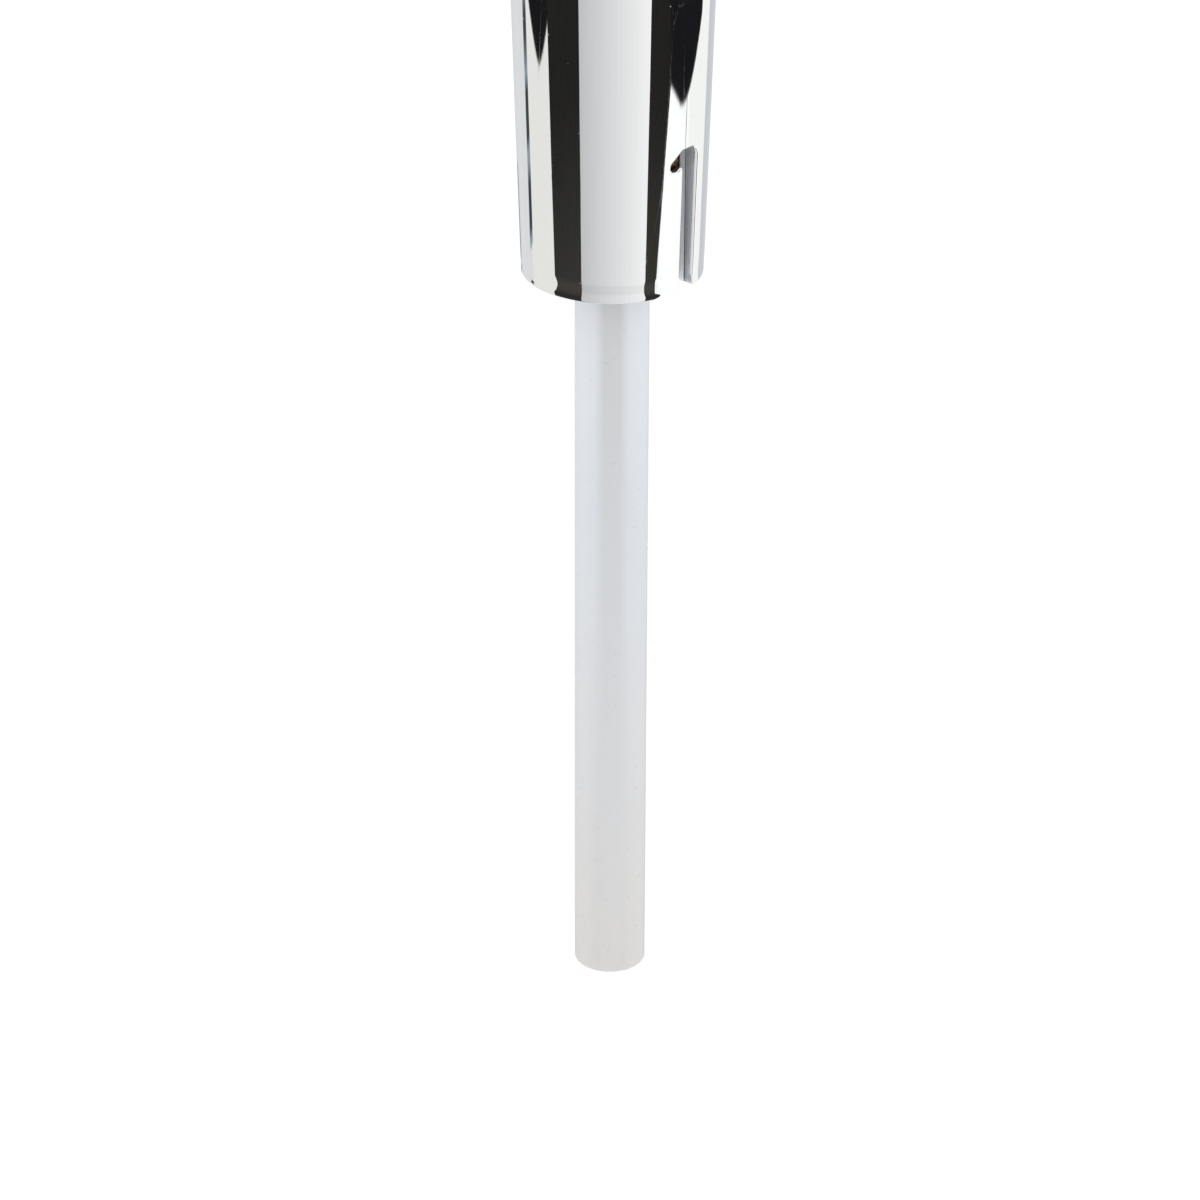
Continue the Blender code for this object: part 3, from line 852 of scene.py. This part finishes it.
def middle_of(node):
    return (low_of(node) + high_of(node)) / 2


def white_tube(number):
    radius, bore = section_radius(number), section_bore(number)
    node = f"white_tube_{number}"
    low, high = low_of(node), high_of(node)
    edge = 0.22 if number == SECTIONS else 0.10
    profile = [(bore, low, 0.1), (radius, low, edge), (radius, high, 0.1), (bore, high, 0.1)]
    turned(f"tube_shell_{number}", profile, TUBE, f"section_{number}", node, 160)


def ferrule(number):
    node = f"ferrule_{number}"
    low, high = low_of(node), high_of(node)
    outer = section_radius(number)
    bore = section_radius(number + 1) + SLIDE_GAP
    spigot = section_bore(number) - BOND_GAP
    groove = bore + DRAG_RING_WIRE + BOND_GAP
    groove_low, groove_high = low + 2.2, low + 3.4
    nose = low + NOSE_LENGTH
    profile = [
        (bore, low, 0.25), (outer, low, 0.45), (outer, nose, 0.12), (spigot, nose, 0),
        (spigot, high, 0.15), (bore, high, 0.15), (bore, groove_high, 0.05), (groove, groove_high, 0.05),
        (groove, groove_low, 0.05), (bore, groove_low, 0.05),
    ]
    body = f"section_{number}"
    turned(f"ferrule_nose_{number}", profile, TUBE, body, node, 128)
    ring = f"drag_ring_{number}"
    wire_ring(
        f"rubber_{ring}", bore + DRAG_RING_WIRE / 2, DRAG_RING_WIRE, middle_of(ring),
        RUBBER, body, ring,
    )


def stop_collar(number):
    node = f"stop_collar_{number}"
    low, high = low_of(node), high_of(node)
    inner = section_radius(number) + BOND_GAP
    guide = LINER_BORE if number == 1 else section_bore(number - 1)
    outer = guide - SLIDE_GAP
    seat = high - COLLAR_LIP
    profile = [
        (inner, low, 0.05), (outer, low, 0.15), (outer, high, 0.3), (section_bore(number), high, 0.15),
        (section_bore(number), seat, 0.05), (inner, seat, 0.05),
    ]
    turned(f"nylon_collar_{number}", profile, NYLON, f"section_{number}", node, 128)


def tip_plug():
    low, high = low_of("tip_plug"), high_of("tip_plug")
    radius = section_bore(SECTIONS) - BOND_GAP
    dimple = 1.1
    profile = [
        (0, low + 0.5, 0), (0.3, low + 0.5, 0.1), (dimple, low, 0.2), (radius, low, 0.4),
        (radius, high, 0.3), (0, high, 0),
    ]
    turned("nylon_tip_plug", profile, NYLON, f"section_{SECTIONS}", "tip_plug", 128)


# ---------------------------------------------------------------- bayonet cartridge


def rod_profile(radius, near, far, near_round=0, far_round=0):
    """Half the outline of a rod, as (radius, distance from the cane's axis, corner radius)."""
    return [(0, near, 0), (radius, near, near_round), (radius, far, far_round), (0, far, 0)]


def radial_rod(name, profile, angle, height, sides=48):
    """A turned mesh that lies on a radius of the cane, at an angle in degrees from the front."""
    builder = bmesh.new()
    add_turned(builder, profile, sides)
    bmesh.ops.translate(builder, verts=builder.verts, vec=(0, 0, -RIM))
    turn = Matrix.Rotation(math.radians(angle) - math.pi / 2, 4, "Z") @ Matrix.Rotation(math.pi / 2, 4, "Y")
    builder.transform(Matrix.Translation((0, 0, RIM + height * MM)) @ turn)
    return finish_mesh(name, builder)


def combine(piece, operation, mesh):
    """Cuts a closed mesh out of the piece, or joins it on, and leaves plain mesh behind."""
    other = new_object("other", mesh)
    modifier = piece.modifiers.new("combine", "BOOLEAN")
    modifier.operation = operation
    modifier.object = other
    modifier.solver = "EXACT"
    bpy.context.view_layer.update()
    shaped = piece.evaluated_get(bpy.context.evaluated_depsgraph_get())
    result = bpy.data.meshes.new_from_object(shaped)
    piece.modifiers.clear()
    piece.data = smooth(result)
    bpy.data.objects.remove(other)


def bushing_and_pin():
    low, high = low_of("bayonet_bushing"), high_of("bayonet_bushing")
    outer = LINER_BORE - SLIDE_GAP
    bore = section_radius(1) + SLIDE_GAP
    profile = [(bore, low, 0.3), (outer, low, 0.35), (outer, high, 0.2), (bore, high, 0.2)]
    bushing = turned("brass_bushing", profile, BRASS, "cartridge", "bayonet_bushing", 128)
    height = middle_of("bayonet_pin")
    pin_radius = (high_of("bayonet_pin") - low_of("bayonet_pin")) / 2
    hole = rod_profile(pin_radius + SLIDE_GAP, bore - 1, outer + 1)
    combine(bushing, "DIFFERENCE", radial_rod("pin_drill", hole, POCKET_ANGLE, height))
    pin = radial_rod("pin", rod_profile(pin_radius, bore + SLIDE_GAP, 11.6, 0.1, 0.25), POCKET_ANGLE, height)
    link_piece("domed_bayonet_pin", pin, [BRASS], "cartridge", "bayonet_pin")


def main_drag_ring():
    """The cartridge's rubber ring, which holds section 1 by friction."""
    wire = 1.0
    wire_ring(
        "rubber_main_drag_ring", section_radius(1) + SLIDE_GAP + wire / 2, wire, middle_of("main_drag_ring"),
        RUBBER, "cartridge", "main_drag_ring",
    )


def turned_ring(name, node, inner, outer, material, body, round_off=0.12):
    low, high = low_of(node), high_of(node)
    profile = [(inner, low, round_off), (outer, low, round_off)]
    profile += [(outer, high, round_off), (inner, high, round_off)]
    turned(name, profile, material, body, node, 128)


def coil_height(turn, turns, closed_pitch, rise):
    """Height of the wire above its start: closed end coils, and open coils between."""
    if turn <= 1:
        return turn * closed_pitch
    if turn > turns - 1:
        return rise - (turns - turn) * closed_pitch
    return closed_pitch + (turn - 1) / (turns - 2) * (rise - 2 * closed_pitch)


def spring():
    """The bayonet's compression spring, built as one fixed coil; the real one shortens towards the stop ring
    as the bayonet lifts.
    """
    wire, turns, closed_pitch, steps_each_turn = 0.6, 4.5, 0.66, 48
    low, high = low_of("bayonet_spring"), high_of("bayonet_spring")
    middle = (section_radius(1) + LINER_BORE) / 2
    builder = bmesh.new()
    loops = []
    for step in range(int(turns * steps_each_turn) + 1):
        turn = step / steps_each_turn
        height = low + wire / 2 + coil_height(turn, turns, closed_pitch, high - low - wire)
        loop = []
        for lean in full_turn(12):
            out, up = wire / 2 * math.cos(lean), wire / 2 * math.sin(lean)
            loop.append(builder.verts.new(round_the_axis(middle + out, 360 * turn, height + up)))
        loops.append(loop)
    for first, second in zip(loops, loops[1:]):
        bridge(builder, first, second)
    builder.faces.new(loops[0])
    builder.faces.new(loops[-1][::-1])
    mesh = finish_mesh("spring", builder)
    coil = link_piece("steel_spring_coil", mesh, [STEEL], "handle", "bayonet_spring")
    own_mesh(coil)


# ---------------------------------------------------------------- handle

GRIP_RADIUS = 15.0
GRIP_SWELL = 0.35
GRIP_FLAT = 14.1           # distance of the finger's flat from the axis
CAP_UNDERSIDE = 262.3      # height of the end cap's ceiling above the rim


def groove_depth(angle, height):
    """Depth of the crossing helical grooves that leave the grip's diamonds standing."""
    starts, helix_rise, groove_width, depth = 24, 94.0, 0.42, 0.5
    spacing = 2 * math.pi * GRIP_RADIUS / starts
    deepest = 0.0
    for hand in (-1, 1):
        across = starts * (angle / (2 * math.pi) + hand * height / helix_rise)
        offset = (across - round(across)) * spacing
        deepest = max(deepest, depth * math.exp(-(offset / groove_width) ** 2))
    return deepest


def rubber_grip():
    """The grip: barrelled, cut with diamonds between its smooth ends, and with a flat for the finger."""
    low, high = low_of("rubber_grip"), high_of("rubber_grip")
    bore, end_round, smooth_end = CORE_RADIUS + SLIDE_GAP, 0.9, 7.0
    sides, row_height, arc = 288, 0.50, 6
    first, last = low + end_round, high - end_round
    lower_arc, upper_arc = [], []
    for step in range(arc):
        lean = math.pi / 2 * step / arc
        radius = GRIP_RADIUS - end_round * (1 - math.sin(lean))
        lower_arc.append((radius, low + end_round * (1 - math.cos(lean))))
        upper_arc.append((radius, high - end_round * (1 - math.cos(lean))))
    stations = int((last - first) / row_height)
    middle = [(None, first + (last - first) * step / stations) for step in range(stations + 1)]
    rows = [(bore, low)] + lower_arc + middle + upper_arc[::-1] + [(bore, high)]
    builder = bmesh.new()
    loops = []
    for radius, height in rows:
        loop = []
        for step in range(sides):
            angle = 2 * math.pi * step / sides
            reach = radius
            if radius is None:
                swell = math.sin(math.pi * (height - first) / (last - first))
                reach = GRIP_RADIUS + GRIP_SWELL * swell
                cut = smooth_step(min(height - low, high - height), smooth_end, smooth_end + 0.6)
                reach -= cut * groove_depth(angle, height)
            y = max(-reach * math.cos(angle), -GRIP_FLAT)
            loop.append(builder.verts.new((reach * MM * math.sin(angle), y * MM, RIM + height * MM)))
        loops.append(loop)
    for below, above in zip(loops, loops[1:] + loops[:1]):
        bridge(builder, below, above)
    mesh = finish_mesh("rubber_grip_mesh", builder, 50)
    link_piece("diamond_grip", mesh, [RUBBER], "handle", "rubber_grip")


def end_cap_and_screw():
    low, high = low_of("end_cap"), high_of("end_cap")
    bore, post_hole = CORE_RADIUS + SLIDE_GAP, 2.1
    dome_height, dome_depth, steps = 3.4, 4.2, 12
    profile = [(bore, low, 0.1), (GRIP_RADIUS, low, 0.5)]
    for step in range(steps + 1):
        lean = math.pi / 2 * step / steps
        radius = GRIP_RADIUS - dome_depth * (1 - math.cos(lean))
        profile.append((radius, high - dome_height * (1 - math.sin(lean)), 0))
    profile += [(post_hole, high, 0.2), (post_hole, CAP_UNDERSIDE, 0), (bore, CAP_UNDERSIDE, 0)]
    cap = turned("domed_end_cap", profile, PLASTIC, "handle", "end_cap", 128)
    back = 180
    height = middle_of("cap_set_screw")
    screw_radius = (high_of("cap_set_screw") - low_of("cap_set_screw")) / 2
    hole = rod_profile(screw_radius + SLIDE_GAP, 11, 17)
    combine(cap, "DIFFERENCE", radial_rod("screw_drill", hole, back, height))
    end = GRIP_RADIUS - 0.3
    mesh = radial_rod("screw", rod_profile(screw_radius, bore, end, 0.1, 0.15), back, height)
    screw = link_piece("socket_set_screw", mesh, [STEEL], "handle", "cap_set_screw")
    key = rod_profile(0.65, end - 1.2, end + 1)
    combine(screw, "DIFFERENCE", radial_rod("key", key, back, height, 6))


def strap_swivel():
    """The post with its trapped head, and the eye for a strap, blended into its collar."""
    post, head, collar = 2.0, 3.4, 3.2
    low, head_top = low_of("strap_swivel"), CAP_UNDERSIDE - REST_GAP
    collar_low = high_of("end_cap") + REST_GAP
    collar_top = collar_low + 1.5
    profile = [
        (0, low, 0), (head, low, 0.3), (head, head_top, 0.2), (post, head_top, 0.2),
        (post, collar_low, 0.1), (collar, collar_low, 0.25), (collar, collar_top, 0.5),
        (1.6, collar_top + 0.5, 0.4), (0, collar_top + 0.8, 0),
    ]
    swivel = turned("strap_swivel_post", profile, STEEL, "strap_eye", "strap_swivel", 96)
    ring, wire = 5.6, 1.4
    middle = collar_top - 0.6 + ring + wire
    builder = bmesh.new()
    section = [(ring + wire * math.cos(a), wire * math.sin(a), 0) for a in full_turn(24)]
    add_turned(builder, section, 96)
    bmesh.ops.translate(builder, verts=builder.verts, vec=(0, 0, -RIM))
    turn = Matrix.Rotation(math.pi / 2, 4, "X")
    builder.transform(Matrix.Translation((0, 0, RIM + middle * MM)) @ turn)
    combine(swivel, "UNION", finish_mesh("eye", builder))


def handle_rings():
    turned_ring("core_tube_shell", "handle_core_tube", LINER_BORE, CORE_RADIUS, ALUMINIUM, "handle")
    turned_ring(
        "turned_trim_ring", "grip_trim_ring", CORE_RADIUS + SLIDE_GAP, GRIP_RADIUS - 0.2,
        ALUMINIUM, "handle", 0.35,
    )
    turned_ring(
        "steel_stop_ring", "stop_ring", section_radius(1) + 0.15, CORE_RADIUS - SLIDE_GAP,
        STEEL, "handle",
    )
    turned_ring(
        "steel_thrust_washer", "thrust_washer", section_radius(1) + 0.15, LINER_BORE - SLIDE_GAP,
        STEEL, "thrust_seat",
    )
    turned_ring(
        "buffer_ring", "top_buffer", 3.0, LINER_BORE - 2 * SLIDE_GAP,
        RUBBER, "handle", 0.5,
    )


def end_plug():
    """The plug in the top of the core tube: hollow below, with a pocket above for the swivel's head."""
    low, high = low_of("end_plug"), high_of("end_plug")
    outer, hollow, pocket = LINER_BORE - SLIDE_GAP, 7.4, 3.8
    ceiling, pocket_floor = low + 12, high - 2.3
    profile = [
        (hollow, low, 0.2), (outer, low, 0.3), (outer, high, 0.3), (pocket, high, 0.1),
        (pocket, pocket_floor, 0), (0, pocket_floor, 0), (0, ceiling, 0), (hollow, ceiling, 0.5),
    ]
    turned("turned_end_plug", profile, ALUMINIUM, "handle", "end_plug", 96)


for section_number in range(1, SECTIONS + 1):
    white_tube(section_number)
    stop_collar(section_number)
for section_number in range(1, SECTIONS):
    ferrule(section_number)
tip_plug()
bushing_and_pin()
spring()
rubber_grip()
end_cap_and_screw()
strap_swivel()
handle_rings()
end_plug()
main_drag_ring()


# ---------------------------------------------------------------- studio

FLOOR_BELOW_RIM = 835.0
FLOOR_SIZE = 30.0
CARD_DISTANCE = 1.25
CARD_STEP = 0.01          # each layer of cards stands this far behind the last, in metres
FLOOR_STEP = 0.001        # and lies this far below it, where the cards run in along the floor
SWEEP_STEPS = 8


def floor():
    builder = bmesh.new()
    height = RIM - FLOOR_BELOW_RIM * MM
    corners = ((-1, -1), (1, -1), (1, 1), (-1, 1))
    builder.faces.new([builder.verts.new((x * FLOOR_SIZE, y * FLOOR_SIZE, height)) for x, y in corners])
    mesh = to_mesh("floor", builder)
    look = Nodes("pale_floor", (0.93, 0.93, 0.93), 0.9)
    look.set(Specular_IOR_Level=0.0)
    mesh.materials.append(look.material)
    new_object("floor", mesh)


def world():
    backdrop = bpy.data.worlds.new("soft_white_room")
    backdrop.use_nodes = True
    light = backdrop.node_tree.nodes["Background"]
    light.inputs["Color"].default_value = (1.0, 1.0, 1.0, 1.0)
    light.inputs["Strength"].default_value = 1.12
    bpy.context.scene.world = backdrop


def card_light():
    """Light of a card's own colour, and clear where its opacity says so."""
    material = bpy.data.materials.new("studio_card")
    material.use_nodes = True
    tree = material.node_tree
    tree.nodes.clear()
    colour = tree.nodes.new("ShaderNodeAttribute")
    colour.attribute_name = "glow"
    glow = tree.nodes.new("ShaderNodeEmission")
    clear = tree.nodes.new("ShaderNodeBsdfTransparent")
    mix = tree.nodes.new("ShaderNodeMixShader")
    output = tree.nodes.new("ShaderNodeOutputMaterial")
    tree.links.new(colour.outputs["Color"], glow.inputs["Color"])
    tree.links.new(colour.outputs["Alpha"], mix.inputs["Fac"])
    tree.links.new(clear.outputs[0], mix.inputs[1])
    tree.links.new(glow.outputs[0], mix.inputs[2])
    tree.links.new(mix.outputs[0], output.inputs["Surface"])
    return material


CARD_LIGHT = card_light()


def card_profile(low, high, layer, hemmed):
    """The card's rows as (distance, height), from the bottom. A full-height card starts along the floor."""
    rows, crowding = 80, 1.0 if hemmed else 2.5
    distance = CARD_DISTANCE + CARD_STEP * layer
    upright = [(distance, low + (high - low) * (row / rows) ** crowding) for row in range(rows + 1)]
    if low != LOW:
        return upright
    on_floor = LOW - layer * FLOOR_STEP
    return [(distance * step / SWEEP_STEPS, on_floor) for step in range(1, SWEEP_STEPS)] + upright


def fold_shade(azimuth, folds):
    return 1 + folds * math.sin(azimuth * 2.1) * math.sin(azimuth * 0.83 + 1) * math.sin(azimuth * 5.3)


def card(name, start, end, low, high, left, right=None, layer=0, feather=0.0, hem=None, folds=0.0,
         shade=None):
    """A curved card round the cane, for the chrome to reflect, and for nothing else to see.

    start and end are azimuths in degrees, 0 towards the camera and growing towards +X, or functions that
    give them at a height. low and high are heights in metres. The brightness runs from left to right, with
    vertical folds, times shade at a height. feather softens the sides, in degrees, and hem gives the
    lower edge at an azimuth.
    """
    right = left if right is None else right
    columns, hem_blur = 96, 0.0015
    builder = bmesh.new()
    glow = builder.verts.layers.float_color.new("glow")
    grid = []
    for distance, height in card_profile(low, high, layer, hem is not None):
        first = start(height) if callable(start) else start
        last = end(height) if callable(end) else end
        line = []
        for column in range(columns + 1):
            across = column / columns
            azimuth = first + (last - first) * across
            opacity = 1.0
            if feather:
                opacity = smooth_step(min(across, 1 - across) * (last - first), 0, feather)
            if hem is not None:
                opacity *= smooth_step(height - hem(azimuth), -hem_blur, hem_blur)
            turn = math.radians(azimuth)
            vertex = builder.verts.new((distance * math.sin(turn), -distance * math.cos(turn), height))
            level = fold_shade(azimuth, folds) * (shade(height) if shade else 1.0)
            vertex[glow] = (*[(a + (b - a) * across) * level for a, b in zip(left, right)], opacity)
            line.append(vertex)
        grid.append(line)
    for below, above in zip(grid, grid[1:]):
        for column in range(columns):
            builder.faces.new((below[column], below[column + 1], above[column + 1], above[column]))
    mesh = to_mesh(name, builder)
    mesh.materials.append(CARD_LIGHT)
    item = new_object(name, mesh)
    item.visible_camera = False
    item.visible_diffuse = False
    item.visible_shadow = False
    item.visible_transmission = False


BLACK = (0.0165, 0.0160, 0.0145)
DEEP_BLACK = (0.010, 0.010, 0.012)
BLUE_BLACK = (0.045, 0.055, 0.066)
BLUE_GREY = (0.10, 0.13, 0.18)
CREAM = (0.80, 0.80, 0.76)
PALE_GREY = (0.72, 0.73, 0.73)
PALE_CREAM = (0.93, 0.94, 0.91)
BACK_RIGHT = (0.56, 0.585, 0.62)
BACK_LEFT = (0.74, 0.75, 0.77)
GREY_LEFT = (0.44, 0.445, 0.457)
GREY_RIGHT = (0.99, 0.99, 0.985)
STAND_GREY = (0.2, 0.2, 0.22)
LOW, HIGH = -1.0, 0.9
DRAPE_TOP = -0.61


def left_flag_edge(height):
    """The left flag narrows towards the floor."""
    return -80 + 10 * max(0.0, (-0.60 - height) / 0.32) ** 2


def right_flag_start(height):
    """The right flag's inner side leans a little towards the camera as it nears the floor."""
    return 43.3 + 12.7 * min(0.0, max(-0.17, height + 0.69))


def right_flag_edge(height):
    """Its outer side runs in towards the floor, and in again above the drape's hem."""
    return 72 - 138 * min(0.115, max(0.0, -0.68 - height)) - 200 * min(0.055, max(0.0, height + 0.68))


def hem_teeth(azimuth):
    """The frayed threads of a drape's hem."""
    return 0.0009 * math.sin(azimuth * 4.0)


def left_hem(azimuth):
    """The lower edge of the drape on the left: it hangs to a point."""
    aside = azimuth + 94
    rise = 0.034 * (-aside / 15) ** 1.3 if aside < 0 else 0.037 * (aside / 25) ** 1.9
    return -0.676 + rise + hem_teeth(azimuth)


def right_hem(azimuth):
    """The lower edge of the drape on the right: nearly level, and rising to the right."""
    rise = 0.058 * ((azimuth - 85) / 34) ** 1.7 if azimuth > 85 else 0.003 * (85 - azimuth) / 17
    return -0.698 + rise + hem_teeth(azimuth)


def patchy(height):
    """The thin stand catches the light in stretches."""
    return 1 + 5 * smooth_step(math.sin(height * 150 + 1.2), 0.2, 0.9)


def grey_shade(height):
    """The grey card is brighter above the cane's mouth, and a little darker at its foot."""
    return 1 + 0.15 * smooth_step(height, -0.67, -0.64) - 0.08 * smooth_step(-height, 0.85, 0.88)


def towards_floor(height):
    """The black flags are lit a little from the floor."""
    return 1 + 13 * max(0.0, -0.70 - height)


floor()
world()
card("grey_card", -60, 60, LOW, HIGH, GREY_LEFT, GREY_RIGHT, layer=3, folds=0.03, shade=grey_shade)
card("cream_card_left", -119, -60, LOW, HIGH, CREAM, layer=4, feather=1.5, folds=0.05)
card("pale_card_left", -141, -116, LOW, HIGH, PALE_GREY, layer=5)
card("pale_card_right", 98, 141, LOW, HIGH, PALE_CREAM, layer=4, feather=5.0)
card("back_card", 137, 223, LOW, HIGH, BACK_RIGHT, BACK_LEFT, layer=6, feather=3.0)
card("black_flag_left", left_flag_edge, -39, LOW, HIGH, BLACK, folds=0.8, shade=towards_floor)
card("black_flag_right", right_flag_start, right_flag_edge, LOW, HIGH, BLACK, folds=0.8, shade=towards_floor)
card("drape_left", -116, -76, -0.71, DRAPE_TOP, DEEP_BLACK, layer=1, hem=left_hem, folds=0.6)
card("drape_right", 66, 120, -0.71, DRAPE_TOP, DEEP_BLACK, layer=1, hem=right_hem, folds=0.6)
card("thin_stand_left", -124.5, -116.0, -0.751, HIGH, BLUE_BLACK, layer=2, feather=1.6,
     folds=0.4, shade=patchy)
card("thin_stand_behind", 193.5, 199.5, -0.742, -0.688, BLUE_GREY, layer=3, feather=1.5)
card("thin_stand_right", 95.8, 97.3, -0.738, HIGH, STAND_GREY, layer=2, feather=0.5)
